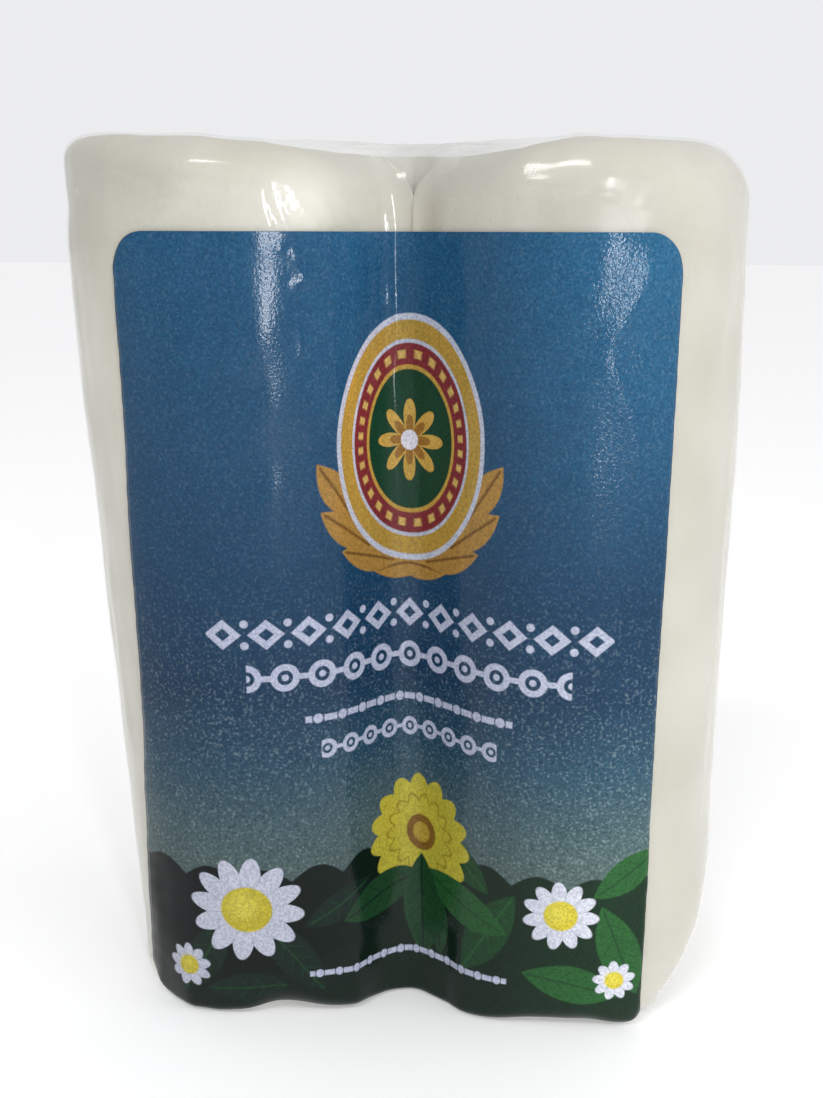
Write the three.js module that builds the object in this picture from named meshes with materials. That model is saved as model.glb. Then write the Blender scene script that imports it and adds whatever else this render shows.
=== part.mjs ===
// Vacuum pack of two short white goat cheese logs standing side by side, with
// one large label bridging the valley between them.
// Units are millimetres, +Z up. The pack stands on its flat ends, its labelled
// front faces -Y, and the origin is at the middle of the footprint.

import * as THREE from 'three';
import { mergeVertices } from 'three/addons/utils/BufferGeometryUtils.js';

// ---- driving dimensions (mm) -------------------------------------------------

const HEIGHT = 90.2;            // flat base to the upper left corner of the film
const HALF_DEPTH = 16.7;        // log radius with its film, front to back
const RIGHT_REACH = 33.5;       // outer side of the right log from the valley line
const RIGHT_TUCK = 6.2;         // how far the film draws in at the right foot
const LEFT_REACH_TOP = 35.9;    // outer side of the left log at the top ...
const LEFT_REACH_BASE = 31.4;   // ... and at the foot: this log leans inwards
const LEFT_CURVE = 1.4;         // how the lean eases out towards the top
const TUCK_HEIGHT = 18.0;       // height of the drawn-in foot

const FOOT_SQUARE = 2.4;        // how much squarer in section the right log's outer foot is
const INNER_SQUARE = 0.5;       // ... the feet of both beside the valley
const LEFT_SQUARE = 0.3;        // ... and the left log's outer foot

const VALLEY_DEPTH = 8.5;       // film and label below the front of the logs
const VALLEY_DEPTH_BASE = 5.5;  // shallower at the foot, where the film is tight
const VALLEY_HALF = 7.4;        // half width of the bridged valley
const VALLEY_HALF_BASE = 5.4;
const VALLEY_LEAN = 1.7;        // the valley leans this far left towards the top

const TOP_ROUND = 4.6;          // rounding of the logs' upper ends
const TOP_ROUND_VALLEY = 5.2;   // broader, where film spans from end to end
const TOP_ROUND_LEFT = 2.2;     // tight, at the film's upper left corner
const LEFT_RISE = 0.4;          // that corner stands this much higher
const TOP_ROUND_RIGHT = 5.8;    // and broad at the right
const WEB_DIP = 0.35;           // film between the upper ends, below the tops
const WEB_HALF = 13.0;
const BASE_ROUND = 1.0;         // small edge round at the foot

const LABEL_LEFT = -27.2;       // side edges of the label, across from the valley line
const LABEL_RIGHT = 24.4;
const LABEL_BOTTOM = 0.25;
const LABEL_TOP = 81.2;
const LABEL_CORNER = 3.6;
const LABEL_GAP = 0.3;          // clear of the film
const LABEL_THICK = 0.3;

const LOG_STEPS = 18;           // facets across each log, front and back
const SIDE_STEPS = 11;          // levels up the straight side
const ROUND_STEPS = 5;
const CAP_STEPS = 3;
const LABEL_COLS = 28;
const LABEL_ROWS = 12;
const LABEL_CORNER_STEPS = 5;

// ---- helpers -----------------------------------------------------------------

const clamp01 = (x) => Math.min(1, Math.max(0, x));
const ease = (x) => { const t = clamp01(x); return t * t * (3 - 2 * t); };

// how far the pack reaches from the valley line, to the left or the right
function reach(side, z) {
  const t = clamp01(z / HEIGHT);
  if (side < 0) {
    return LEFT_REACH_BASE + (LEFT_REACH_TOP - LEFT_REACH_BASE) * (1 - Math.pow(1 - t, LEFT_CURVE))
      - 0.4 * ease((z - 79) / 9);
  }
  return RIGHT_REACH - RIGHT_TUCK * Math.pow(1 - clamp01(z / TUCK_HEIGHT), 2)
    - 0.5 * ease((z - 66) / 20);
}

// half depth of the pack at a place across it: a round log either side, and
// a smooth bridge of film over the valley between them
function halfDepth(u, z) {
  const foot = 1 - ease(z / TUCK_HEIGHT);
  const lean = ease(z / 84);
  const centre = -VALLEY_LEAN * lean;
  const leftPart = u < centre;
  const half = VALLEY_HALF + (VALLEY_HALF_BASE - VALLEY_HALF) * foot
    + (leftPart ? 1.1 : 0.3) * lean - (leftPart ? 0.7 : 0) * foot;
  const floor = HALF_DEPTH - (VALLEY_DEPTH + (VALLEY_DEPTH_BASE - VALLEY_DEPTH) * foot);
  const a = reach(u, z) / 2;
  const across = Math.abs(u);
  // the foot is squarer in section
  const low = 1 - ease(z / 22);
  const square = 2 + FOOT_SQUARE * low * ease((u - 14) / 5)
    + INNER_SQUARE * low * (1 - ease((across - 9) / 6))
    + LEFT_SQUARE * low * ease((-u - 16) / 6);
  const log = (x) => {
    const s = clamp01(Math.abs((x - a) / a));
    return HALF_DEPTH * Math.pow(1 - Math.pow(s, square), 1 / square);
  };
  if (across >= half) return log(across);
  const rim = log(half);
  const edge = (a - half) / a;
  const slope = (HALF_DEPTH / a) * Math.pow(edge, square - 1) * Math.pow(1 - Math.pow(edge, square), 1 / square - 1);
  const span = half + (leftPart ? centre : -centre);
  const t = clamp01(Math.abs(u - centre) / span);
  return (2 * t ** 3 - 3 * t ** 2 + 1) * floor
    + (3 * t ** 2 - 2 * t ** 3) * rim
    + (t ** 3 - t ** 2) * slope * span;
}

// places across the pack, from its right side to its left, closer together at
// the sides and in the valley
function stations(z) {
  const list = [];
  for (let i = 0; i <= LOG_STEPS; i++) {
    list.push((reach(1, z) / 2) * (1 + Math.cos((Math.PI * i) / LOG_STEPS)));
  }
  for (let i = 1; i <= LOG_STEPS; i++) {
    list.push((-reach(-1, z) / 2) * (1 - Math.cos((Math.PI * i) / LOG_STEPS)));
  }
  return list;
}

// rounding of the upper edge at a place across the pack
function topRound(u) {
  const web = 1 - ease((Math.abs(u) - 2) / (WEB_HALF - 2));
  let r = TOP_ROUND + (TOP_ROUND_VALLEY - TOP_ROUND) * web;
  r += (TOP_ROUND_RIGHT - r) * ease((u - 18) / 12);
  return r + (TOP_ROUND_LEFT - r) * ease((-u - 21) / 12);
}

// how far below the upper left corner the top is at a place across the pack
function topDrop(u) {
  return LEFT_RISE * (1 - ease((-u - 17) / 15))
    + WEB_DIP * ease((u + 20) / 6) * (1 - ease((u - 11.5) / 5));
}

// one closed ring around the pack at a height, drawn in towards the spine that
// joins the two log axes; keep = 1 is the full outline and 0 the spine itself
function ring(z, inset, keep, topTurn) {
  const across = stations(z);
  const front = across.map((u) => [u, -1]);
  const back = across.slice(1, -1).reverse().map((u) => [u, 1]);
  return [...front, ...back].map(([u, face]) => {
    const a = reach(u, z) / 2;
    const qx = Math.abs(u) > a ? Math.sign(u) * a : u;
    const dx = u - qx;
    const dy = face * halfDepth(u, z);
    const len = Math.hypot(dx, dy);
    let pull = inset;
    let height = z;
    if (topTurn !== null) {
      const r = topRound(u);
      pull = Math.min(r * (1 - Math.cos(topTurn)), len * 0.97);
      height = HEIGHT - r + r * Math.sin(topTurn);
    }
    const k = (Math.max(0, len - pull) / Math.max(len, 1e-6)) * keep;
    if (topTurn !== null) height -= topDrop(qx + dx * k);
    return new THREE.Vector3(qx + dx * k, dy * k, height);
  });
}

function packGeometry() {
  const rings = [];
  for (let i = 0; i < CAP_STEPS; i++) rings.push(ring(0, BASE_ROUND, i / CAP_STEPS, null));
  for (let i = 0; i < ROUND_STEPS; i++) {
    const turn = (Math.PI / 2) * (i / ROUND_STEPS);
    rings.push(ring(BASE_ROUND * (1 - Math.cos(turn)), BASE_ROUND * (1 - Math.sin(turn)), 1, null));
  }
  const low = BASE_ROUND;
  const high = HEIGHT - LEFT_RISE - WEB_DIP - TOP_ROUND_RIGHT;
  for (let i = 0; i <= SIDE_STEPS; i++) rings.push(ring(low + ((high - low) * i) / SIDE_STEPS, 0, 1, null));
  const turnSteps = ROUND_STEPS + 2;
  for (let i = 0; i <= turnSteps; i++) {
    rings.push(ring(HEIGHT, 0, 1, (Math.PI / 2) * (i / turnSteps)));
  }
  for (let i = 1; i <= CAP_STEPS; i++) {
    rings.push(ring(HEIGHT, 0, 1 - i / CAP_STEPS, Math.PI / 2));
  }
  const count = rings[0].length;
  const pos = rings.flat().flatMap((p) => [p.x, p.y, p.z]);
  const index = [];
  for (let k = 0; k + 1 < rings.length; k++) {
    for (let i = 0; i < count; i++) {
      const j = (i + 1) % count;
      const a = k * count + i;
      const b = k * count + j;
      const c = (k + 1) * count + j;
      const d = (k + 1) * count + i;
      index.push(a, c, b, a, d, c);
    }
  }
  return closeUp(pos, index);
}

// a point on the pack's front, moved straight out from it
function onFront(u, z, out) {
  const h = 0.02;
  const slope = (halfDepth(u + h, z) - halfDepth(u - h, z)) / (2 * h);
  const n = Math.hypot(slope, 1);
  return [u - (out * slope) / n, -halfDepth(u, z) - out / n, z];
}

function labelGeometry() {
  const mid = (LABEL_LEFT + LABEL_RIGHT) / 2;
  const wide = (LABEL_RIGHT - LABEL_LEFT) / 2;
  const rows = [];
  for (let i = 0; i < LABEL_CORNER_STEPS; i++) {
    const a = (Math.PI / 2) * (i / LABEL_CORNER_STEPS);
    rows.push([LABEL_CORNER * (1 - Math.cos(a)), LABEL_CORNER * (1 - Math.sin(a))]);
  }
  const levels = rows.map(([up, cut]) => [LABEL_BOTTOM + up, wide - cut]);
  for (let i = 0; i <= LABEL_ROWS; i++) {
    const t = i / LABEL_ROWS;
    levels.push([LABEL_BOTTOM + LABEL_CORNER + (LABEL_TOP - LABEL_BOTTOM - 2 * LABEL_CORNER) * t, wide]);
  }
  rows.slice().reverse().forEach(([up, cut]) => levels.push([LABEL_TOP - up, wide - cut]));

  const pos = [];
  const cols = LABEL_COLS + 1;
  for (const out of [LABEL_GAP, LABEL_GAP + LABEL_THICK]) {
    for (const [z, half] of levels) {
      for (let i = 0; i < cols; i++) {
        pos.push(...onFront(mid - half + (2 * half * i) / LABEL_COLS, z, out));
      }
    }
  }
  const layer = levels.length * cols;
  const index = [];
  const quad = (a, b, c, d) => index.push(a, b, c, a, c, d);
  for (let r = 0; r + 1 < levels.length; r++) {
    for (let i = 0; i < LABEL_COLS; i++) {
      const a = r * cols + i;
      quad(a, a + cols, a + cols + 1, a + 1);                               // towards the film
      quad(layer + a, layer + a + 1, layer + a + cols + 1, layer + a + cols); // printed face
    }
    const a = r * cols;
    quad(a, layer + a, layer + a + cols, a + cols);
    const b = a + LABEL_COLS;
    quad(b, b + cols, layer + b + cols, layer + b);
  }
  const last = (levels.length - 1) * cols;
  for (let i = 0; i < LABEL_COLS; i++) {
    quad(i, i + 1, layer + i + 1, layer + i);
    quad(last + i, layer + last + i, layer + last + i + 1, last + i + 1);
  }
  return closeUp(pos, index);
}

// shared points are joined and the slivers that collapse on the spine dropped
function closeUp(pos, index) {
  const raw = new THREE.BufferGeometry();
  raw.setAttribute('position', new THREE.Float32BufferAttribute(pos, 3));
  raw.setIndex(index);
  const geo = mergeVertices(raw, 1e-4);
  const ids = geo.getIndex().array;
  const keep = [];
  for (let i = 0; i < ids.length; i += 3) {
    const [a, b, c] = [ids[i], ids[i + 1], ids[i + 2]];
    if (a !== b && b !== c && a !== c) keep.push(a, b, c);
  }
  geo.setIndex(keep);
  geo.computeVertexNormals();
  return geo;
}

// ---- the object --------------------------------------------------------------

const cheeseInFilm = new THREE.MeshStandardMaterial({ color: 0xe0ddd0, roughness: 0.28, metalness: 0 });
const printedLabel = new THREE.MeshStandardMaterial({ color: 0x2f5f8c, roughness: 0.4, metalness: 0 });

const pack = new THREE.Mesh(packGeometry(), cheeseInFilm);
pack.name = 'pack';

const label = new THREE.Mesh(labelGeometry(), printedLabel);
label.name = 'label';

// the origin goes to the middle of the whole footprint
const model = new THREE.Group();
const body = new THREE.Group();
body.add(pack, label);
const box = new THREE.Box3().setFromObject(body);
body.position.set(-(box.min.x + box.max.x) / 2, -(box.min.y + box.max.y) / 2, 0);
model.add(body);
model.updateMatrixWorld(true);

export default model;
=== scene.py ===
import bpy
import math
import numpy as np
from mathutils import Matrix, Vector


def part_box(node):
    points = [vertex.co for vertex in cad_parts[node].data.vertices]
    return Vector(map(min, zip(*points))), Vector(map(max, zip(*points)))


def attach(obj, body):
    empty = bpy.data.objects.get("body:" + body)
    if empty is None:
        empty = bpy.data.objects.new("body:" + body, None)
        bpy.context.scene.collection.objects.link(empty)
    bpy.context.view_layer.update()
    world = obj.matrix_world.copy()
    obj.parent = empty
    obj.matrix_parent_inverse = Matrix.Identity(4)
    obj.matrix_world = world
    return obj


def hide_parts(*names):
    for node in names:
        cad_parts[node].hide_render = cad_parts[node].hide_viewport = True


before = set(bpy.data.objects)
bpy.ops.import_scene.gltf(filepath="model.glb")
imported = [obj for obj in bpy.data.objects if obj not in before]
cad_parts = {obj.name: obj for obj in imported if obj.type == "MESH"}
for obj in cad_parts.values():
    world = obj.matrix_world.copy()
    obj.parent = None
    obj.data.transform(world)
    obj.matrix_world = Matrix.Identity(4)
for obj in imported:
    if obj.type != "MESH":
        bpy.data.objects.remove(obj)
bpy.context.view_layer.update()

# ---------------------------------------------------------------- sizes (mm)
HEIGHT = 90.2
HALF_DEPTH = 16.7
RIGHT_REACH, RIGHT_TUCK = 33.5, 6.2
LEFT_TOP, LEFT_BASE, LEFT_CURVE = 35.9, 31.4, 1.4
TUCK_H = 9.0
LEFT_CORNER, LEFT_RISE = 2.2, 0.4
RIGHT_CORNER, WEB_DIP = 5.8, 0.35
FOOT_SQUARE, INNER_SQUARE, LEFT_SQUARE = 2.4, 0.5, 0.3
VALLEY, VALLEY_BASE, VALLEY_LEAN = 8.5, 5.5, 1.7
VHALF, VHALF_BASE = 7.4, 5.4
TOP_ROUND, TOP_ROUND_VALLEY = 4.6, 5.2
LOG_DROP, WEB_HALF = 1.0, 13.0
BASE_ROUND = 1.0
LABEL_L, LABEL_R = -27.2, 24.4
LABEL_B, LABEL_T = 0.25, 81.2
CORNER = 3.6

lo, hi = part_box("pack")
SHIFT_X = (lo[0] + hi[0]) / 2 * 1000 - (RIGHT_REACH - LEFT_TOP) / 2
SHIFT_Y = (lo[1] + hi[1]) / 2 * 1000


def ease(x):
    t = np.clip(x, 0, 1)
    return t * t * (3 - 2 * t)


# ------------------------------------------------------------ shape of the pack
def left_reach(z):
    t = np.clip(z / HEIGHT, 0, 1)
    return (LEFT_BASE + (LEFT_TOP - LEFT_BASE) * (1 - (1 - t) ** LEFT_CURVE)
            - 0.4 * ease((z - 79) / 9) - 0.3 * np.exp(-((z - 81) / 2.0) ** 2))


def right_reach(z):
    return (RIGHT_REACH - RIGHT_TUCK * np.clip(1 - z / (TUCK_H * 2), 0, 1) ** 2
            - 0.5 * ease((z - 66) / 20))


def reach(u, z):
    k = ease((u + 0.8) / 1.6)
    return left_reach(z) * (1 - k) + right_reach(z) * k


def half_depth(u, z, back=False):
    u, z = np.broadcast_arrays(np.asarray(u, float), np.asarray(z, float))
    foot = 1 - ease(z / (2 * TUCK_H))
    lean = ease(z / 84.0)
    centre = -VALLEY_LEAN * lean * (0.6 if back else 1.0)
    half = VHALF + (VHALF_BASE - VHALF) * foot
    half = half + np.where(u < centre, 1.1, 0.3) * lean - np.where(u < centre, 0.7, 0.0) * foot
    deep = VALLEY + (VALLEY_BASE - VALLEY) * foot
    if back:
        deep = deep + 0.3
    a = reach(u, z) / 2
    ac = np.abs(u)

    # the foot is squarer in section, most of all the right log's outer side
    low = 1 - ease(z / 22)
    square = 2 + FOOT_SQUARE * low * ease((u - 14) / 5) + INNER_SQUARE * low * (1 - ease((ac - 9) / 6))
    square = square + LEFT_SQUARE * low * ease((-u - 16) / 6)

    def log(x):
        s = np.clip(np.abs((x - a) / a), 0, 1)
        return HALF_DEPTH * (1 - s ** square) ** (1 / square)

    rim = log(half)
    s_rim = (a - half) / a
    slope = HALF_DEPTH * s_rim ** (square - 1) * (1 - s_rim ** square) ** (1 / square - 1) / a
    span = half + np.where(u < centre, centre, -centre)
    t = np.clip(np.abs(u - centre) / span, 0, 1)
    bridge = ((2 * t ** 3 - 3 * t ** 2 + 1) * (HALF_DEPTH - deep)
              + (3 * t ** 2 - 2 * t ** 3) * rim + (t ** 3 - t ** 2) * slope * span)
    return np.where(ac >= half, log(ac), bridge)


def top_round(u):
    """rounding of the upper edge: broad over the valley, tight at the left corner"""
    web = web_at(u)
    r = TOP_ROUND + (TOP_ROUND_VALLEY - TOP_ROUND) * web
    r = r + (RIGHT_CORNER - r) * ease((u - 18) / 12)
    return r + (LEFT_CORNER - r) * ease((-u - 21) / 12)


def web_at(x):
    return 1 - ease((np.abs(x) - 2) / (WEB_HALF - 2))


def top_level(u):
    dip = WEB_DIP * ease((u + 20) / 6) * (1 - ease((u - 11.5) / 5))
    return HEIGHT - LEFT_RISE * (1 - ease((-u - 17) / 15)) - dip


def base_round(u, front=True):
    """rounding of the foot, broader where the label's lower edge lifts"""
    lift = np.exp(-((u + 12.6) / 4.8) ** 2) * 3.0 + 1.7 * ease((u - 6) / 8) * (1 - ease((u - 19) / 5))
    return BASE_ROUND + lift * (1.0 if front else 0.0)


def base_inset(u, z):
    r = base_round(u)
    t = np.clip(1 - z / r, 0, 1)
    return r * (1 - np.sqrt(1 - t * t))


def wave(p, scale, seed):
    """smooth low noise in about -1..1, from sines turned every way"""
    rng = np.random.RandomState(seed)
    out = np.zeros(p.shape[:-1])
    for _ in range(9):
        d = rng.normal(size=3)
        d /= np.linalg.norm(d)
        k = rng.uniform(0.6, 1.6) * 2 * math.pi / scale
        out += np.sin((p @ d) * k + rng.uniform(0, 6.283))
    return out / 9 ** 0.5 / 1.2


def front_point(u, z, out=0.0, back=False):
    h = 0.02
    s = (half_depth(u + h, z, back) - half_depth(u - h, z, back)) / (2 * h)
    n = np.hypot(s, 1)
    sign = 1 if back else -1
    w = half_depth(u, z, back)
    return np.stack([u - out * s / n, sign * (w + out / n), np.broadcast_to(z, w.shape)], -1)


def stroke_field(p, strokes):
    """ridges and furrows: each stroke is (points, width, height), and falls off
    to both sides, thinning out towards its ends"""
    d_out = np.zeros(p.shape[:-1])
    flat = p.reshape(-1, 3)
    acc = d_out.reshape(-1)
    for pts, width, height in strokes:
        pts = np.asarray(pts, float)
        seg = np.linalg.norm(np.diff(pts, axis=0), axis=1)
        total = seg.sum()
        lo_, hi_ = pts.min(0) - 4 * width, pts.max(0) + 4 * width
        near = np.where(((flat > lo_) & (flat < hi_)).all(1))[0]
        if not len(near):
            continue
        q = flat[near]
        best = np.full(len(near), 1e9)
        along = np.zeros(len(near))
        run = 0.0
        for a, b, length in zip(pts[:-1], pts[1:], seg):
            d = b - a
            t = np.clip(((q - a) @ d) / (length * length), 0, 1)
            dist = np.linalg.norm(q - a - t[:, None] * d, axis=1)
            m = dist < best
            best[m] = dist[m]
            along[m] = (run + t[m] * length) / total
            run += length
        taper = np.clip(np.minimum(along, 1 - along) / 0.22, 0, 1) ** 0.8
        r = best / (width * (0.35 + 0.65 * taper))
        acc[near] += height * taper * np.exp(-np.minimum(r, 6) ** 1.5)
    return acc.reshape(d_out.shape)


def on_front(pairs, back=False):
    return [tuple(front_point(np.float64(u), np.float64(z), 0.0, back)) for u, z in pairs]


# ---------------------------------------------------------------------- meshes
def new_object(name, verts, faces, mats, face_mats=None, smooth=True):
    me = bpy.data.meshes.new(name)
    v = np.asarray(verts, float).reshape(-1, 3).copy()
    v[:, 0] += SHIFT_X
    v[:, 1] += SHIFT_Y
    v *= 0.001
    me.from_pydata(v.tolist(), [], faces)
    for m in mats:
        me.materials.append(m)
    if face_mats is not None:
        me.polygons.foreach_set("material_index", np.asarray(face_mats, np.int32))
    me.polygons.foreach_set("use_smooth", np.full(len(me.polygons), smooth))
    me.update()
    o = bpy.data.objects.new(name, me)
    bpy.context.scene.collection.objects.link(o)
    return o


def grid_normals(p, wrap):
    """normals of a grid of points [rows, columns, 3], closed round the columns"""
    if wrap:
        du = np.roll(p, -1, 1) - np.roll(p, 1, 1)
    else:
        du = np.gradient(p, axis=1)
    dv = np.gradient(p, axis=0)
    n = np.cross(du, dv)
    length = np.linalg.norm(n, axis=2, keepdims=True)
    return n / np.maximum(length, 1e-9)


def tube_faces(rows, cols):
    f = []
    for k in range(rows - 1):
        a = k * cols
        for i in range(cols):
            j = (i + 1) % cols
            f.append((a + i, a + j, a + cols + j, a + cols + i))
    return f


# ------------------------------------------------------------- film round logs
def film_ring(z, keep=1.0, turn=None, base=None, up=None, n=90):
    ph = np.arange(n + 1) * math.pi / n
    ur = right_reach(z) / 2 * (1 + np.cos(ph))
    left = left_reach(z)
    ul = -left / 2 * (1 - np.cos(ph[1:]))
    uf = np.concatenate([ur, ul])
    ub = uf[1:-1][::-1]
    u = np.concatenate([uf, ub])
    face = np.concatenate([-np.ones(len(uf)), np.ones(len(ub))])
    w = np.concatenate([half_depth(uf, z), half_depth(ub, z, True)])
    w[0] = w[len(uf) - 1] = 0
    a = np.where(u > 0, ur[0], left) / 2
    qx = np.where(np.abs(u) > a, np.sign(u) * a, u)
    dx, dy = u - qx, face * w
    length = np.hypot(dx, dy)
    foot = np.where(face < 0, base_round(u), base_round(u, False))
    height = np.full(len(u), float(z))
    pull = np.zeros(len(u))
    if base is not None:
        pull = foot * (1 - math.sin(base))
        height = foot * (1 - math.cos(base))
    if up is not None:
        top = top_level(u) - top_round(u)
        height = foot + (top - foot) * up
    if turn is not None:
        r = top_round(u)
        pull = np.minimum(r * (1 - math.cos(turn)), length * 0.97)
    k = np.maximum(0, length - pull) / np.maximum(length, 1e-6) * keep
    x = qx + dx * k
    if turn is not None:
        height = top_level(x) - r + r * math.sin(turn)
    return np.stack([x, dy * k, height], -1)


def film_grid(n, low, high, turns, caps):
    rings = []
    for i in range(1, caps):
        rings.append(film_ring(0, keep=i / caps, base=0.0, n=n))
    for i in range(7):
        rings.append(film_ring(0, base=math.pi / 2 * i / 7, n=n))
    # up the sides, in closer steps near the top where the film is creased
    steps = np.concatenate([np.linspace(0, 0.90, low, endpoint=False), np.linspace(0.90, 1.0, high)])
    span = HEIGHT - LEFT_RISE - TOP_ROUND
    for k in steps:
        rings.append(film_ring(1.2 + (span - 1.2) * k, up=k, n=n))
    for i in range(1, turns + 1):
        rings.append(film_ring(HEIGHT, turn=math.pi / 2 * i / turns, n=n))
    for i in range(1, caps):
        rings.append(film_ring(HEIGHT, keep=1 - i / caps, turn=math.pi / 2, n=n))
    return np.array(rings)


def film_strokes():
    s = []
    f = on_front
    # slanting tight creases over the left log, above the label
    for u0, u1, z0, z1, w, h in (
            (-13.6, -12.2, 86.0, 80.6, 0.34, 0.20), (-12.9, -10.6, 86.8, 80.6, 0.36, 0.26),
            (-12.2, -9.4, 87.0, 80.8, 0.36, 0.24), (-11.4, -8.3, 86.6, 81.2, 0.34, 0.18),
            (-10.9, -8.4, 86.4, 80.9, 1.0, 0.34), (-9.0, -6.4, 86.2, 81.2, 0.75, 0.32),
            (-7.4, -4.9, 85.6, 81.8, 0.55, 0.28), (-8.2, -4.6, 86.8, 84.4, 0.55, 0.16)):
        s.append((f([(u0, z0), ((u0 + u1) / 2 - 0.25, (z0 + z1) / 2), (u1, z1)]), w, h))
    # a thin bright crease across the right log's shoulder, with two short ones after it
    s.append((f([(8.6, 85.6), (12.0, 85.2), (15.6, 84.5)]), 0.42, 0.26))
    s.append((f([(16.2, 84.5), (18.6, 84.2)]), 0.36, 0.22))
    s.append((f([(20.2, 83.6), (21.2, 84.0)]), 0.34, 0.18))
    # the ridge that the film's top edge makes over the left log
    s.append((f([(-22.0, 86.4), (-17.5, 87.4), (-13.5, 87.2), (-9.0, 86.0)]), 0.9, 0.14))
    # drawn film beside the valley, up to the web
    s.append((f([(-3.9, 87.6), (-3.7, 85.0), (-3.3, 82.5)]), 0.36, 0.20))
    s.append((f([(-2.9, 84.6), (-2.4, 82.0), (-2.2, 80.0)]), 0.42, 0.24))
    s.append((f([(3.8, 86.6), (3.2, 83.6), (2.4, 80.5)]), 0.8, 0.14))
    s.append((f([(1.8, 88.4), (3.6, 87.0), (7.5, 86.2)]), 0.6, 0.16))
    s.append((f([(-8.5, 87.6), (-4.0, 88.2), (1.0, 88.4)]), 0.6, 0.14))
    # broad folds down the right side
    s.append((f([(29.6, 84.0), (29.9, 78.0), (29.4, 70.0), (28.6, 58.0)]), 1.0, 0.13))
    s.append((f([(31.8, 80.0), (31.6, 68.0), (31.3, 50.0), (31.4, 34.0)]), 1.2, 0.10))
    # left side
    s.append((f([(-33.4, 82.0), (-33.2, 77.0), (-32.8, 69.0)]), 0.9, 0.14))
    s.append((f([(-31.4, 60.0), (-30.9, 45.0), (-30.5, 28.0)]), 0.9, 0.12))
    # the film's corner stands a little proud at the top of the left side
    s.append(([(-35.6, -1.5, 82.6), (-35.8, -0.5, 86.0), (-35.4, 0.5, 89.6)], 1.8, 0.12))
    # the back: slack film gathered into long creases and a few across
    b = lambda pts: on_front(pts, True)
    s.append((b([(-2.6, 88.0), (-2.2, 70.0), (-2.5, 45.0), (-2.0, 20.0), (-2.2, 3.0)]), 0.35, 0.30))
    s.append((b([(2.9, 87.0), (2.4, 66.0), (2.9, 40.0), (2.5, 12.0)]), 0.32, 0.24))
    rng = np.random.RandomState(11)
    for _ in range(26):
        u0 = rng.choice([-1, 1]) * rng.uniform(3.0, 28.0)
        z0 = rng.uniform(6, 84)
        slant = rng.uniform(-2.4, 2.4)
        length = rng.uniform(4, 17)
        s.append((b([(u0, z0), (u0 + slant * 0.4, z0 + length * 0.5),
                     (u0 + slant, min(z0 + length, 88))]),
                  rng.uniform(0.22, 0.55), rng.uniform(0.07, 0.2)))
    for _ in range(16):
        u0 = rng.uniform(4, 12) * rng.choice([-1, 1])
        z0 = rng.uniform(8, 84)
        s.append((b([(u0 * 0.25, z0), (u0 * 0.7, z0 + rng.uniform(-1.5, 1.5)),
                     (u0 * 1.25, z0 + rng.uniform(-3.5, 3.5))]),
                  rng.uniform(0.25, 0.5), rng.uniform(0.08, 0.2)))
    # pinches running up the front shoulders and side
    for _ in range(20):
        u0 = rng.uniform(-33, 31)
        z0 = rng.uniform(82.5, 86.5)
        s.append((f([(u0, z0), (u0 + rng.uniform(-0.6, 0.6), z0 + rng.uniform(1.5, 3.5))]),
                  rng.uniform(0.35, 0.6), rng.uniform(0.03, 0.08)))
    return s


def cap_strokes():
    """creases fanning over the two end faces and gathering in the middle"""
    s = []
    rng = np.random.RandomState(5)
    for side, a in ((-1, LEFT_TOP / 2), (1, RIGHT_REACH / 2)):
        for _ in range(17):
            ang = rng.uniform(0, 2 * math.pi)
            r0, r1 = rng.uniform(5.5, 9.5), rng.uniform(12.0, 15.6)
            bend = rng.uniform(-0.16, 0.16)
            pts = []
            for t in (0, 0.5, 1):
                r = r0 + (r1 - r0) * t
                z = HEIGHT - 0.0 - max(0, r - 12.1) ** 2 / 9.5
                pts.append((side * a + r * math.cos(ang + bend * t), r * math.sin(ang + bend * t), z))
            s.append((pts, rng.uniform(0.25, 0.5), rng.uniform(0.08, 0.22)))
    for k in range(9):
        x0 = -9 + k * 2.2
        s.append(([(x0, -4.5 + (k % 3), 89.0), (x0 + 1.6, 0.5, 89.3), (x0 + 2.4, 5.0 - (k % 2), 88.9)],
                  0.35, 0.16 + 0.05 * (k % 2)))
    return s


def make_film(mat):
    caps = 11
    g = film_grid(128, 66, 34, 15, caps)
    nrm = grid_normals(g, True)
    # the columns run clockwise seen from above, so outwards is the other way
    outward = g - np.array([0, 0, HEIGHT / 2])
    flip = np.sign((nrm * outward).sum(2, keepdims=True))
    mid = slice(caps + 6, -caps - 6)
    side_sign = 1.0 if np.median(flip[mid]) > 0 else -1.0
    nrm = nrm * side_sign
    fade = ease((g[..., 2] - 0.2) / 3.0)
    bump = slack(g)
    creases = stroke_field(g, film_strokes()) * fade
    creases += stroke_field(g, cap_strokes()) * (g[..., 2] > HEIGHT / 2)
    under = (g[..., 2] < 0.3)
    amount = np.where(under, 0.0, bump + np.maximum(creases, -0.03))
    p = g + nrm * amount[..., None]
    p[..., 2] = np.maximum(p[..., 2], 0.0)
    rows, cols = p.shape[:2]
    faces = tube_faces(rows, cols)
    if side_sign < 0:
        faces = [f[::-1] for f in faces]
    verts = p.reshape(-1, 3)
    # both ends close on the spine that joins the log axes
    for k, top in ((0, False), (rows - 1, True)):
        faces += close_cap(k * cols, cols, top ^ (side_sign < 0))
    o = new_object("film", verts, faces, [mat])
    return o


def close_cap(start, cols, up):
    """quads across the last ring, front to back, since it mirrors itself"""
    f = []
    half = cols // 2
    for i in range(half):
        a, b = start + i, start + i + 1
        c, d = start + (cols - i - 1) % cols, start + (cols - i) % cols
        q = [a, b, c, d]
        q = list(dict.fromkeys(q))
        if len(q) >= 3:
            f.append(tuple(q if up else q[::-1]))
    return f


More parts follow.
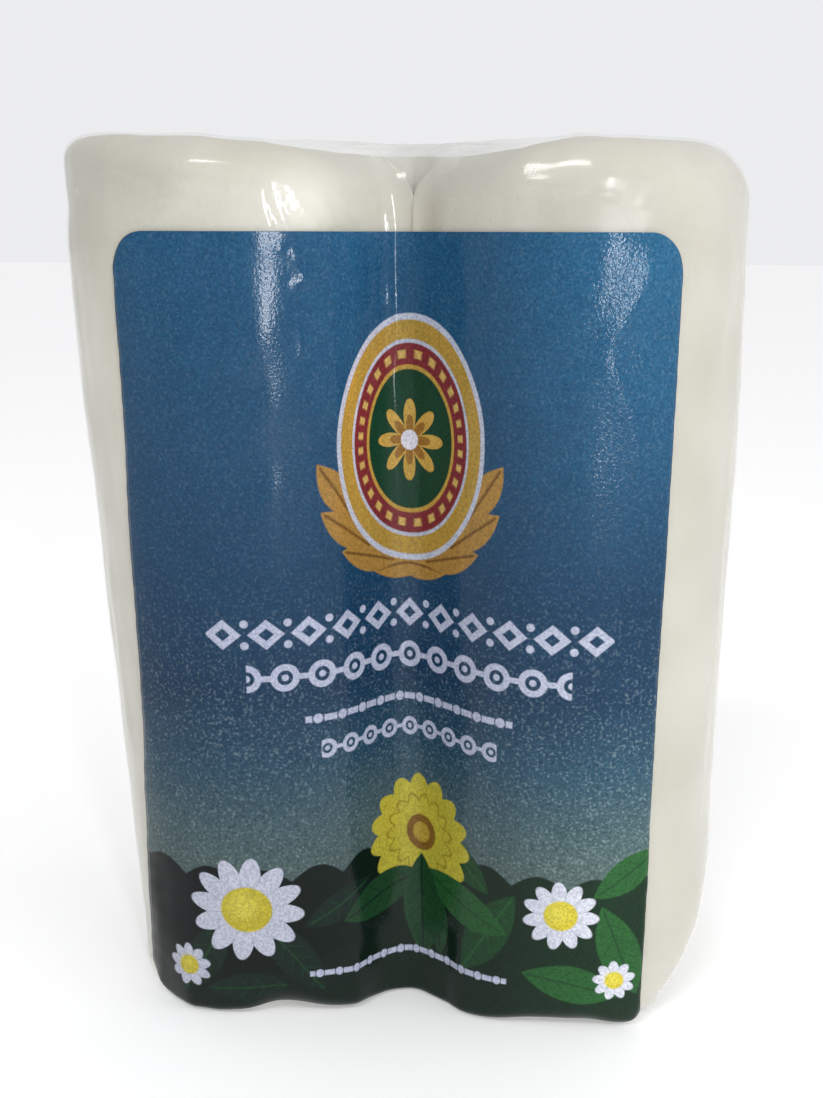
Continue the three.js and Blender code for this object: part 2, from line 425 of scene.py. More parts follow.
def dips():
    """broad hollows and swells in the cheese itself"""
    f = on_front
    return [
        (f([(-27.5, 86.6), (-24.0, 84.8), (-22.5, 82.6)]), 2.6, -0.26),
        (f([(8.0, 83.4), (14.0, 82.4), (21.0, 81.9)]), 2.4, -0.20),
        (f([(-22.0, 86.4), (-17.5, 87.4), (-13.5, 87.2), (-9.0, 86.0)]), 1.6, 0.16),
    ]


def slack(p):
    """shallow unevenness that the tight film and the cheese under it share"""
    low = 0.10 * wave(p * [1, 1, 0.45], 9.0, 3) + 0.05 * wave(p * [1, 1, 0.5], 4.0, 8)
    return (low + stroke_field(p, dips())) * ease((p[..., 2] - 0.2) / 2.5)


def make_log(name, side, mat, seed):
    """one soft log: round outside, pressed flat where it meets the other, with
    rounded ends, and drawn tight by the film all round"""
    n, flat, up = 76, 26, 110
    gap, seam, nose = 0.07, 0.03, 0.24

    def outline(z):
        a = (left_reach(z) if side < 0 else right_reach(z)) / 2
        ph = np.linspace(math.pi, math.acos(1 - seam / a), n)
        u = a * (1 - np.cos(ph))
        d = np.clip((u - seam) / nose, 0, 1)
        cut = nose * (1 - np.sqrt(1 - (1 - d) ** 2))
        x = np.where(u > a, a + (u - a) * (1 - gap / a), u)
        wf = np.maximum(half_depth(side * u, z) - gap - cut, 0)
        wb = np.maximum(half_depth(side * u, z, True) - gap - cut, 0)
        wf[0] = wb[0] = 0
        yi = np.linspace(-wf[-1], wb[-1], flat + 2)[1:-1]
        px = np.concatenate([x, np.full(flat, seam), x[::-1][:-1]])
        py = np.concatenate([-wf, yi, wb[::-1][:-1]])
        inner = np.clip(1 - np.abs(py) / max(wf[-1], 1e-6), 0, 1) * (px < seam + 0.01)
        px = px - 0.24 * (1 - ease(px / 2.5))        # the two press into each other
        return px, py, a, inner

    def level_at(px):
        return top_level(side * px) - 0.22 - LOG_DROP * web_at(px)

    def ring(z, inset=0.0, keep=1.0, turn=None, base=None, up_=None):
        px, py, a, inner = outline(z)
        dx, dy = px - a, py
        length = np.hypot(dx, dy)
        pull = np.full(len(px), float(inset))
        h = np.full(len(px), float(z))
        if base is not None:
            foot = np.where(py < 0, base_round(side * px), BASE_ROUND) * 1.15
            pull = foot * (1 - math.sin(base))
            h = 0.18 + foot * (1 - math.cos(base))
        if up_ is not None:
            foot = np.where(py < 0, base_round(side * px), BASE_ROUND) * 1.15 + 0.18
            r = top_round(side * px)
            r = r + (0.35 - r) * ease(inner * 2.2)
            h = foot + (level_at(px) - r - foot) * up_
        if turn is not None:
            r = top_round(side * px)
            r = r + (0.35 - r) * ease(inner * 2.2)
            pull = np.minimum(r * (1 - math.cos(turn)), length * 0.97)
            h = level_at(px) - r + r * math.sin(turn)
        k = np.maximum(0, length - pull) / np.maximum(length, 1e-6) * keep
        x = a + dx * k
        if keep < 1 and turn is not None:
            rim_x = a + dx * np.maximum(0, length - pull) / np.maximum(length, 1e-6)
            rim_h = h
            h = level_at(x) + (rim_h - level_at(rim_x)) * keep ** 3
        return np.stack([side * x, dy * k, h], -1)

    rings = [ring(0.0, keep=k, base=0.0) for k in (0.05, 0.3, 0.55, 0.8)]
    for i in range(7):
        rings.append(ring(0.0, base=math.pi / 2 * i / 7))
    span = HEIGHT - LEFT_RISE - TOP_ROUND
    for i in range(up + 1):
        rings.append(ring(1.3 + (span - 1.3) * i / up, up_=i / up))
    for i in range(1, 18):
        rings.append(ring(HEIGHT, turn=math.pi / 2 * i / 17))
    for k in np.linspace(0.93, 0.05, 13):
        rings.append(ring(HEIGHT, keep=k, turn=math.pi / 2))
    g = np.array(rings)
    nrm = grid_normals(g, True)
    axis = np.array([side * 17.0, 0, HEIGHT / 2])
    sgn = np.sign(np.median(((g - axis) * nrm).sum(2)))
    nrm *= sgn
    own = 0.035 * wave(g, 6.0, seed + 1) + 0.02 * wave(g, 2.4, seed + 2) - 0.04
    dent = slack(g) + np.minimum(own, 0.0) * ease((g[..., 2] - 0.3) / 2)
    at_seam = np.clip((np.abs(g[..., 0]) - seam) / 0.8, 0, 1)
    p = g + nrm * (dent * at_seam)[..., None]
    rows, cols = p.shape[:2]
    faces = tube_faces(rows, cols)
    if sgn < 0:
        faces = [f[::-1] for f in faces]
    verts = p.reshape(-1, 3).tolist()
    for k, up_ in ((0, False), (rows - 1, True)):
        verts.append([float(p[k, :, 0].mean()), float(p[k, :, 1].mean()), float(p[k, :, 2].mean())])
        c = len(verts) - 1
        for i in range(cols):
            j = (i + 1) % cols
            tri = (k * cols + i, k * cols + j, c)
            faces.append(tri if (up_ ^ (sgn < 0)) else tri[::-1])
    return new_object(name, verts, faces, [mat])


# ----------------------------------------------------------------------- label
def label_strokes():
    f = on_front
    s = [
        # the crease that runs down from the top edge into the valley
        (f([(-2.9, 84.5), (-2.6, 79.0), (-2.3, 74.0), (-2.2, 68.0)]), 0.55, 0.22),
        (f([(-4.0, 83.0), (-3.6, 77.5)]), 0.5, 0.14),
        # small slack puckers over the left log
        (f([(-10.7, 80.0), (-10.3, 78.2), (-9.1, 76.4)]), 0.34, 0.21),
        (f([(-10.9, 76.0), (-10.0, 76.9), (-8.6, 76.7)]), 0.34, 0.19),
        (f([(-12.2, 80.2), (-11.2, 79.4)]), 0.28, 0.08),
        (f([(-10.2, 73.0), (-10.0, 70.5), (-10.3, 69.4)]), 0.26, 0.10),
        (f([(-14.7, 70.0), (-14.6, 67.6)]), 0.22, 0.09),
        (f([(-8.2, 66.0), (-9.4, 63.5), (-9.8, 61.5)]), 0.26, 0.09),
        # a longer pucker down the right log
        (f([(21.8, 80.5), (21.2, 77.0), (19.6, 74.0), (17.8, 71.0)]), 1.5, 0.26),
        (f([(17.6, 73.0), (18.4, 69.0), (20.0, 65.5), (21.3, 61.5), (21.6, 57.5)]), 1.3, 0.22),
        (f([(23.6, 76.0), (23.8, 71.5)]), 0.5, 0.09),
        (f([(7.2, 79.5), (7.0, 77.0), (6.9, 75.5)]), 0.6, -0.10),
        (f([(7.3, 72.5), (7.1, 70.0)]), 0.5, -0.08),
        (f([(12.6, 50.6), (12.9, 49.6)]), 0.3, 0.10),
        (f([(20.8, 49.6), (21.6, 48.6)]), 0.3, 0.09),
        # ripples along the lower edge
        (f([(-13.5, 9.0), (-13.8, 4.0), (-14.2, -1.0)]), 2.6, -0.30),
        (f([(-6.3, 8.0), (-6.0, 3.0), (-5.8, -1.0)]), 1.5, 0.45),
        (f([(4.4, 9.0), (4.2, 3.0), (4.2, -1.0)]), 1.1, -0.25),
        (f([(-23.8, 7.0), (-23.0, 2.0), (-22.6, -1.0)]), 1.6, 0.35),
    ]
    rng = np.random.RandomState(23)
    for _ in range(22):
        u = rng.uniform(-26, 23)
        z = rng.uniform(8, 78)
        a = rng.uniform(0, math.pi)
        k = rng.uniform(0.15, 0.5)
        s.append((f([(u, z), (u + k * math.cos(a), z + k * math.sin(a))]),
                  rng.uniform(0.22, 0.4), rng.uniform(0.05, 0.11)))
    return s


def make_label(face_mat, edge_mat):
    cols, rows_mid, corner = 150, 190, 12
    mid, wide = (LABEL_L + LABEL_R) / 2, (LABEL_R - LABEL_L) / 2
    # (height, left edge, right edge): three corners alike, the lower right one tight
    lv = []
    for i in range(corner):
        t = math.pi / 2 * i / corner
        up = CORNER * 1.05 * (1 - math.cos(t))
        tight = np.clip(1 - up / 2.0, 0, 1)
        lv.append((LABEL_B + up, wide - CORNER * 1.05 * (1 - math.sin(t)),
                   wide - 2.0 * (1 - math.sqrt(1 - tight * tight))))
    z0, z1 = LABEL_B + CORNER * 1.05, LABEL_T - CORNER
    for i in range(rows_mid + 1):
        lv.append((z0 + (z1 - z0) * i / rows_mid, wide, wide))
    for i in reversed(range(corner)):
        t = math.pi / 2 * i / corner
        cut = wide - CORNER * 0.85 * (1 - math.sin(t))
        lv.append((LABEL_T - CORNER * (1 - math.cos(t)), cut, cut))
    z = np.array([a for a, _, _ in lv])[:, None]
    left_half = np.array([b for _, b, _ in lv])[:, None]
    right_half = np.array([c for _, _, c in lv])[:, None]
    t = np.linspace(-1, 1, cols + 1)[None, :]
    half = np.where(t < 0, left_half, right_half)
    u = mid + half * t
    zz = np.broadcast_to(z, u.shape)
    # the left edge runs out a little towards the foot
    u = u - 1.0 * (1 - ease(zz / 42.0)) * np.clip((mid - u) / wide, 0, 1) ** 2
    # the lower edge lifts where the foot is rounder
    soft_foot = np.clip(1 - zz / 6.0, 0, 1) ** 2
    zz = zz + soft_foot * 0.42 * (base_round(u) - BASE_ROUND)
    base = front_point(u, zz)
    relief = stroke_field(base, label_strokes()) + 0.8 * slack(base)
    edge = np.minimum(np.minimum(zz - LABEL_B, LABEL_T - zz), (half - np.abs(u - mid)))
    relief += 0.05 * wave(base, 3.0, 37) * np.exp(-np.clip(edge, 0, None) / 1.2)
    relief -= base_inset(u, zz)
    outer = front_point(u, zz, 0.50 + relief)
    inner = front_point(u, zz, 0.34 + relief)
    # arc length across the label at mid height gives the print its places
    uu = np.linspace(LABEL_L, LABEL_R, 4001)
    ww = half_depth(uu, 45.0)
    arc = np.concatenate([[0], np.cumsum(np.hypot(np.diff(uu), np.diff(ww)))])
    s = np.interp(u, uu, arc)
    r, c = u.shape
    verts = np.concatenate([outer.reshape(-1, 3), inner.reshape(-1, 3)])
    n = r * c
    faces, fm = [], []
    for k in range(r - 1):
        for i in range(c - 1):
            a = k * c + i
            faces.append((a, a + 1, a + c + 1, a + c))
            fm.append(0)
    for k in range(r - 1):
        for i in range(c - 1):
            a = n + k * c + i
            faces.append((a, a + c, a + c + 1, a + 1))
            fm.append(1)
    rim = ([k for k in range(c)] + [k * c + c - 1 for k in range(1, r)]
           + [(r - 1) * c + k for k in range(c - 2, -1, -1)] + [k * c for k in range(r - 2, 0, -1)])
    for a, b in zip(rim, rim[1:] + rim[:1]):
        faces.append((b, a, n + a, n + b))
        fm.append(1)
    o = new_object("label_print", verts, faces, [face_mat, edge_mat], fm)
    me = o.data
    uv = me.uv_layers.new(name="flat")
    st = np.concatenate([np.stack([s, zz], -1).reshape(-1, 2)] * 2) / 100.0
    idx = np.zeros(len(me.loops), np.int32)
    me.loops.foreach_get("vertex_index", idx)
    uv.data.foreach_set("uv", st[idx].astype(np.float32).ravel())
    return o


# ------------------------------------------------------------- node arithmetic
class Sum:
    """numbers worked out by nodes, written like ordinary arithmetic"""
    tree = None

    def __init__(self, socket):
        self.s = socket

    @staticmethod
    def op(name, *args, clamp=False):
        n = Sum.tree.nodes.new("ShaderNodeMath")
        n.operation = name
        n.use_clamp = clamp
        for i, a in enumerate(args):
            if isinstance(a, Sum):
                Sum.tree.links.new(a.s, n.inputs[i])
            else:
                n.inputs[i].default_value = float(a)
        return Sum(n.outputs[0])

    def __add__(self, o): return Sum.op("ADD", self, o)
    def __radd__(self, o): return Sum.op("ADD", o, self)
    def __sub__(self, o): return Sum.op("SUBTRACT", self, o)
    def __rsub__(self, o): return Sum.op("SUBTRACT", o, self)
    def __mul__(self, o): return Sum.op("MULTIPLY", self, o)
    def __rmul__(self, o): return Sum.op("MULTIPLY", o, self)
    def __truediv__(self, o): return Sum.op("DIVIDE", self, o)


def vmin(a, b): return Sum.op("MINIMUM", a, b)
def vmax(a, b): return Sum.op("MAXIMUM", a, b)
def vabs(a): return Sum.op("ABSOLUTE", a)
def vsin(a): return Sum.op("SINE", a)
def hyp(a, b): return Sum.op("SQRT", a * a + b * b)
def inside(d, soft=0.06):
    """1 where the distance d is below zero, with a soft edge in mm"""
    return Sum.op("MULTIPLY_ADD", d, -0.5 / soft, 0.5, clamp=True)


def repeat(a, period):
    """folds a length into -period/2 .. period/2"""
    return Sum.op("WRAP", a, period / 2, -period / 2)


def node(tree, kind, **values):
    n = tree.nodes.new(kind)
    for k, v in values.items():
        if k in n.inputs:
            n.inputs[k].default_value = v
        else:
            setattr(n, k, v)
    return n


def srgb(r, g, b):
    def lin(c):
        c /= 255
        return c / 12.92 if c <= 0.04045 else ((c + 0.055) / 1.055) ** 2.4
    return (lin(r), lin(g), lin(b), 1)


def mix_colour(tree, fac, a, b, mode="MIX"):
    n = tree.nodes.new("ShaderNodeMix")
    n.data_type = "RGBA"
    n.blend_type = mode
    for slot_, value in ((0, fac), (6, a), (7, b)):
        if isinstance(value, Sum):
            tree.links.new(value.s, n.inputs[slot_])
        elif hasattr(value, "is_linked"):
            tree.links.new(value, n.inputs[slot_])
        else:
            n.inputs[slot_].default_value = value
    return n.outputs[2]


def material(name):
    m = bpy.data.materials.new(name)
    m.use_nodes = True
    t = m.node_tree
    t.nodes.clear()
    out = t.nodes.new("ShaderNodeOutputMaterial")
    return m, t, out


# ------------------------------------------------------------------- materials
def cheese_material():
    m, t, out = material("goat_cheese")
    co = t.nodes.new("ShaderNodeTexCoord")
    bsdf = node(t, "ShaderNodeBsdfPrincipled")
    big = node(t, "ShaderNodeTexNoise", Scale=90.0, Detail=1.0, Roughness=0.5)
    fine = node(t, "ShaderNodeTexNoise", Scale=1400.0, Detail=1.0, Roughness=0.6)
    t.links.new(co.outputs["Object"], big.inputs["Vector"])
    t.links.new(co.outputs["Object"], fine.inputs["Vector"])
    ramp = t.nodes.new("ShaderNodeValToRGB")
    ramp.color_ramp.elements[0].position = 0.3
    ramp.color_ramp.elements[0].color = srgb(184, 181, 168)
    ramp.color_ramp.elements[1].position = 0.7
    ramp.color_ramp.elements[1].color = srgb(197, 194, 183)
    t.links.new(big.outputs["Fac"], ramp.inputs["Fac"])
    speck = mix_colour(t, Sum(fine.outputs["Fac"]).s, srgb(232, 229, 218), srgb(255, 255, 255))
    col = mix_colour(t, 0.35, ramp.outputs["Color"], speck, "MULTIPLY")
    # painted shade in the seam between the two logs, most of all on its right
    Sum.tree = t
    axes = t.nodes.new("ShaderNodeSeparateXYZ")
    t.links.new(co.outputs["Object"], axes.inputs[0])
    mm = Sum(axes.outputs[0]) * 1000.0 - (SHIFT_X + 2.0)
    painted_valley_shade = Sum.op("MULTIPLY_ADD", vabs(mm), -1 / 6.0, 1.0, clamp=True)
    col = mix_colour(t, painted_valley_shade * painted_valley_shade * 0.55, col, srgb(146, 140, 122))
    # painted light near the upper ends, on the front only: painted shade above the label on the right log and at the
    # left log's upper corner, and a painted highlight over the left log's shoulder
    up = Sum(axes.outputs[2]) * 1000.0
    for cx, cz, rx, rz, amount, tone in ((14.0, 83.0, 12.0, 4.6, 0.55, srgb(164, 161, 149)),
                                         (-26.0, 86.5, 9.0, 6.0, 0.55, srgb(160, 157, 146)),
                                         (-9.0, 84.0, 5.5, 4.0, 0.60, srgb(222, 219, 208))):
        spot = Sum.op("MULTIPLY_ADD", hyp((Sum(axes.outputs[0]) * 1000.0 - (SHIFT_X + cx)) / rx, (up - cz) / rz),
                      -1.0, 1.0, clamp=True)
        front = Sum.op("MULTIPLY_ADD", Sum(axes.outputs[1]), -1000 / 4.0, -0.5, clamp=True)
        col = mix_colour(t, spot * spot * (3.0 - spot * 2.0) * front * amount, col, tone)
    t.links.new(col, bsdf.inputs["Base Color"])
    bsdf.inputs["Roughness"].default_value = 0.55
    bump = node(t, "ShaderNodeBump", Strength=0.35, Distance=0.00015)
    t.links.new(fine.outputs["Fac"], bump.inputs["Height"])
    t.links.new(bump.outputs["Normal"], bsdf.inputs["Normal"])
    t.links.new(bsdf.outputs[0], out.inputs["Surface"])
    return m


def film_material():
    m, t, out = material("clear_film")
    co = t.nodes.new("ShaderNodeTexCoord")
    mp = t.nodes.new("ShaderNodeMapping")
    mp.inputs["Scale"].default_value = (1.0, 1.0, 0.4)
    t.links.new(co.outputs["Object"], mp.inputs["Vector"])
    soft = node(t, "ShaderNodeTexNoise", Scale=260.0, Detail=1.0, Roughness=0.45)
    t.links.new(mp.outputs[0], soft.inputs["Vector"])
    bump = node(t, "ShaderNodeBump", Strength=0.5, Distance=0.00022)
    t.links.new(soft.outputs["Fac"], bump.inputs["Height"])
    clear = node(t, "ShaderNodeBsdfTransparent")
    clear.inputs["Color"].default_value = (0.985, 0.985, 0.98, 1)
    haze = node(t, "ShaderNodeBsdfDiffuse", Roughness=0.3)
    haze.inputs["Color"].default_value = (0.66, 0.66, 0.63, 1)
    body = t.nodes.new("ShaderNodeMixShader")
    spot = t.nodes.new("ShaderNodeSeparateXYZ")
    t.links.new(co.outputs["Object"], spot.inputs[0])
    Sum.tree = t
    near_web = Sum.op("MULTIPLY_ADD", vabs(Sum(spot.outputs[0]) - (SHIFT_X + 0.5) / 1000), -1000 / 9.0, 1.25, clamp=True)
    near_top = Sum.op("MULTIPLY_ADD", Sum(spot.outputs[2]), 1000 / 5.0, -83.0 / 5.0, clamp=True)
    t.links.new((near_web * near_top * (Sum(soft.outputs["Fac"]) * 0.5 + 0.12) + 0.05).s, body.inputs[0])
    t.links.new(clear.outputs[0], body.inputs[1])
    t.links.new(haze.outputs[0], body.inputs[2])
    shine = node(t, "ShaderNodeBsdfGlossy", Roughness=0.15)
    shine.inputs["Color"].default_value = (1, 1, 1, 1)
    Sum.tree = t
    place = t.nodes.new("ShaderNodeSeparateXYZ")
    t.links.new(co.outputs["Object"], place.inputs[0])
    right = Sum.op("MULTIPLY_ADD", Sum(place.outputs[0]), 1000 / 6.0, -1.0, clamp=True)
    below = Sum.op("MULTIPLY_ADD", Sum(place.outputs[2]), -1000 / 1.6, 86.2 / 1.6, clamp=True)
    t.links.new((right * below * 0.22 + 0.15).s, shine.inputs["Roughness"])
    t.links.new(bump.outputs[0], shine.inputs["Normal"])
    fres = node(t, "ShaderNodeFresnel", IOR=1.48)
    t.links.new(bump.outputs[0], fres.inputs["Normal"])
    mix = t.nodes.new("ShaderNodeMixShader")
    # seen from inside, the thin sheet lets light out just as it lets it in
    face = t.nodes.new("ShaderNodeNewGeometry")
    Sum.tree = t
    inner = Sum(face.outputs["Backfacing"])
    gloss = vmin(Sum(fres.outputs[0]), 0.42)
    t.links.new((gloss * (1.0 - inner) + inner * 0.06).s, mix.inputs[0])
    t.links.new(body.outputs[0], mix.inputs[1])
    t.links.new(shine.outputs[0], mix.inputs[2])
    t.links.new(mix.outputs[0], out.inputs["Surface"])
    return m


def label_face_material():
    m, t, out = material("printed_label")
    Sum.tree = t
    uv = t.nodes.new("ShaderNodeUVMap")
    uv.uv_map = "flat"
    sep = t.nodes.new("ShaderNodeSeparateXYZ")
    t.links.new(uv.outputs[0], sep.inputs[0])
    s = Sum(sep.outputs[0]) * 100.0      # mm across the label, 0 .. 59.6
    z = Sum(sep.outputs[1]) * 100.0      # mm above the foot
    x = s - 30.6                         # from the middle of the design

    # the ground: blue, paling to grey teal low down
    ramp = t.nodes.new("ShaderNodeValToRGB")
    cr = ramp.color_ramp
    stops = ((0.00, srgb(80, 98, 97)), (0.06, srgb(72, 95, 99)), (0.17, srgb(46, 78, 97)),
             (0.30, srgb(26, 58, 85)), (0.46, srgb(25, 65, 96)), (1.00, srgb(38, 88, 123)))
    while len(cr.elements) < len(stops):
        cr.elements.new(0.5)
    for e, (p, c) in zip(cr.elements, stops):
        e.position, e.color = p, c
    t.links.new(((z - 18.0) / 63.0).s, ramp.inputs["Fac"])
    col = ramp.outputs["Color"]

    def paint(col, mask, rgb):
        return mix_colour(t, mask, col, rgb)

    # pale and dark specks in the ground, plainest where it is grey teal
    speck_at = t.nodes.new("ShaderNodeTexCoord")
    speck = node(t, "ShaderNodeTexNoise", Scale=3300.0, Detail=1.0, Roughness=0.5)
    t.links.new(speck_at.outputs["Object"], speck.inputs["Vector"])
    lower = Sum.op("MULTIPLY_ADD", z, -1 / 16.0, 50.0 / 16.0, clamp=True)
    pale_speck = Sum.op("MULTIPLY_ADD", Sum(speck.outputs["Fac"]), 6.0, -3.3, clamp=True)
    dark_speck = Sum.op("MULTIPLY_ADD", Sum(speck.outputs["Fac"]), -6.0, 2.7, clamp=True)
    col = paint(col, pale_speck * (lower * 0.24 + 0.09), srgb(150, 166, 170))
    col = paint(col, dark_speck * (lower * 0.26 + 0.14), srgb(12, 34, 52))

    # a green field with a scalloped upper edge
    edge_s = Sum.op("ABSOLUTE", Sum.op("COSINE", x * (3.1416 / 5.6) + 0.4))
    field = z - (edge_s * 1.5 + 16.2)
    across = Sum.op("MULTIPLY_ADD", x, 1 / 46.0, 0.48, clamp=True)
    green = mix_colour(t, across, srgb(9, 15, 17), srgb(21, 44, 29))
    col = paint(col, inside(field, 0.10), green)
    low = Sum.op("MULTIPLY_ADD", z, -1 / 9.0, 1.0, clamp=True)
    col = paint(col, vmin(low * 0.7, inside(field, 0.10)), srgb(26, 42, 32))

    # leaves: pointed ovals with a midrib
    def leaf_at(col, cx, cz, long, wide, deg, rgb, rib):
        c, k = math.cos(math.radians(deg)), math.sin(math.radians(deg))
        dx, dz = x - cx, z - cz
        p = dx * c + dz * k
        q = vabs(dz * c - dx * k)
        far = Sum.op("MULTIPLY", p, 1.0 / long)
        body = q - (1.0 - far * far) * wide
        col = paint(col, inside(body, 0.09), rgb)
        vein = vmax(q - 0.11, body + 0.4)
        slant = vmax(vabs(repeat(p + q * 0.9, 1.7)) - 0.09, body + 0.5)
        return paint(col, vmax(inside(vein, 0.09), inside(slant, 0.09) * 0.55), rib)

    light, mid_g, dark = srgb(38, 86, 44), srgb(29, 66, 38), srgb(20, 38, 31)
    for cx, cz, long, wide, deg, tone, rib in (
            (-24.0, 7.0, 5.6, 2.0, 62, dark, mid_g), (-14.6, 7.4, 5.8, 2.1, 128, dark, mid_g),
            (-19.4, 3.6, 4.6, 1.7, 4, dark, mid_g), (-9.4, 12.6, 4.4, 1.6, 24, dark, mid_g),
            (24.6, 9.4, 5.6, 2.2, 112, light, mid_g), (10.6, 10.2, 5.8, 2.2, 58, mid_g, light),
            (19.8, 5.4, 5.4, 2.1, 168, light, mid_g), (25.0, 18.0, 4.2, 1.7, 36, light, mid_g),
            (7.6, 17.2, 4.2, 1.6, 140, mid_g, light), (4.0, 9.6, 4.0, 1.5, 96, mid_g, dark)):
        col = leaf_at(col, cx, cz, long, wide, deg, tone, rib)

    # daisies with yellow middles
    def daisy(col, cx, cz, r, turn, count=11):
        dx, dz = x - cx, z - cz
        d = hyp(dx, dz)
        ang = Sum.op("ARCTAN2", dz, dx)
        petal = (vabs(Sum.op("COSINE", ang * (count / 2) + turn)) * 0.30 + 0.70) * r
        col = paint(col, inside(d - petal, 0.10), srgb(196, 198, 212))
        gap = vmin(inside(vabs(Sum.op("COSINE", ang * (count / 2) + turn)) * d - 0.22, 0.12), inside(d - petal, 0.1))
        col = paint(col, gap * 0.6, srgb(150, 156, 172))
        col = paint(col, inside(d - 0.44 * r, 0.10), srgb(196, 180, 56))
        return paint(col, inside(hyp(dx + 0.07 * r, dz - 0.07 * r) - 0.26 * r, 0.6), srgb(208, 196, 76))

    def marigold(col, cx, cz, r, turn, count):
        dx, dz = x - cx, z - cz
        d = hyp(dx, dz)
        ang = Sum.op("ARCTAN2", dz, dx)
        wavy = vabs(Sum.op("COSINE", ang * (count / 2) + turn))
        petal = (wavy * 0.16 + 0.84) * r
        col = paint(col, inside(d - petal, 0.10), srgb(190, 178, 62))
        inner_ring = (vabs(Sum.op("COSINE", ang * (count / 2) + turn + 1.2)) * 0.14 + 0.52) * r
        col = paint(col, inside(vabs(d - inner_ring) - 0.16, 0.10), srgb(158, 140, 44))
        col = paint(col, inside(d - 0.30 * r, 0.10), srgb(128, 92, 38))
        return paint(col, inside(d - 0.17 * r, 0.10), srgb(178, 150, 58))

    col = marigold(col, 1.6, 18.2, 6.9, 0.3, 15)
    col = leaf_at(col, -3.6, 12.0, 5.6, 2.1, 14, mid_g, dark)
    col = leaf_at(col, 7.6, 12.4, 5.6, 2.1, 160, light, mid_g)
    col = leaf_at(col, 1.9, 10.2, 5.6, 2.7, 92, mid_g, dark)
    col = daisy(col, -19.4, 13.0, 6.0, 0.7, 12)
    col = daisy(col, -25.8, 5.6, 2.4, 1.9, 9)
    col = daisy(col, 18.4, 13.4, 3.9, 0.3, 11)
    col = daisy(col, 24.2, 6.0, 2.3, 2.0, 9)

    # oval medallion: pale rim, gold ring, red band, green ground, gold rosette
    mx, mz = x, z - 61.2
    # a gold garland of leaves round its foot
    fold = vabs(mx)
    for deg, reach_, long, wide in ((-84, 12.9, 3.6, 1.5), (-62, 13.0, 3.8, 1.6), (-42, 12.6, 3.8, 1.6), (-22, 11.8, 3.6, 1.5)):
        a = math.radians(deg)
        gx, gz = fold - reach_ * math.cos(a) * 0.86, mz - reach_ * math.sin(a)
        b = math.radians(deg + 78)
        p = gx * math.cos(b) + gz * math.sin(b)
        q = vabs(gz * math.cos(b) - gx * math.sin(b))
        far = p * (1.0 / long)
        body = q - (1.0 - far * far) * wide
        col = paint(col, inside(body, 0.09), srgb(168, 128, 62))
        col = paint(col, inside(vmax(q - 0.14, body + 0.3), 0.09), srgb(118, 82, 38))
    k = hyp(mx / 9.4, mz / 12.4)
    col = paint(col, inside((k - 1.0) * 10.6), srgb(188, 192, 206))
    col = paint(col, inside((k - 0.95) * 10.6), srgb(176, 142, 62))
    col = paint(col, inside((k - 0.80) * 10.6), srgb(188, 192, 206))
    col = paint(col, inside((k - 0.77) * 10.6), srgb(124, 46, 50))
    col = paint(col, inside((k - 0.60) * 10.6), srgb(190, 152, 68))
    col = paint(col, inside((k - 0.565) * 10.6), srgb(20, 62, 42))
    ang = Sum.op("ARCTAN2", mz, mx)
    d = hyp(mx, mz)
    leaf = (Sum.op("ABSOLUTE", Sum.op("COSINE", ang * 4.0)) * 2.7 + 1.4)
    col = paint(col, inside(d - leaf), srgb(196, 158, 74))
    col = paint(col, inside(d - leaf * 0.62), srgb(150, 106, 44))
    col = paint(col, inside(d - 1.0), srgb(220, 218, 226))
    # beads round the red band
    bead = repeat(ang * (1 / 6.2832) * 28.0 + 0.5, 1.0)
    col = paint(col, vmin(inside(vabs(bead) - 0.22, 0.08), inside(vabs(k - 0.685) * 10.6 - 0.34)), srgb(206, 172, 96))

    pale = srgb(186, 190, 210)

    # rows of ornament: lozenges, rings and dots between fine rules
    def row(col, cz, half, tall, period, kind):
        r = repeat(x, period)
        v = z - cz
        if kind == "lozenge":
            shape = vabs(r) / (0.43 * period) + vabs(v) / (tall * 0.5) - 1.0
            mask = inside(shape, 0.05)
            hollow = inside(shape + 0.58, 0.05)
            mask = mask - hollow
            w = vabs(repeat(x + period / 2, period))
            pair = inside(hyp(w, vabs(v) - tall * 0.36) - tall * 0.13)
            mask = vmax(mask, pair)
        elif kind == "ring":
            ring = vabs(hyp(r, v) - tall * 0.38) - tall * 0.115
            bar = vmax(vabs(v) - tall * 0.10, vabs(repeat(x + period / 2, period)) - period * 0.17)
            mask = vmax(inside(ring), inside(bar))
            mask = vmax(mask, inside(hyp(r, v) - tall * 0.12))
        else:
            dash = vmax(vabs(v) - tall * 0.20, vabs(r) - period * 0.26)
            dot = hyp(repeat(x + period / 2, period), v) - tall * 0.30
            mask = vmax(inside(dash), inside(dot))
        mask = vmin(mask, inside(vabs(x) - half))
        return paint(col, mask, pale)

    col = row(col, 43.2, 22.4, 3.1, 4.15, "lozenge")
    col = row(col, 38.6, 18.6, 2.9, 3.72, "ring")
    col = row(col, 33.9, 13.0, 1.7, 2.6, "dash")
    col = row(col, 30.5, 11.4, 2.1, 2.7, "ring")
    col = row(col, 5.2, 12.9, 1.5, 2.15, "dash")

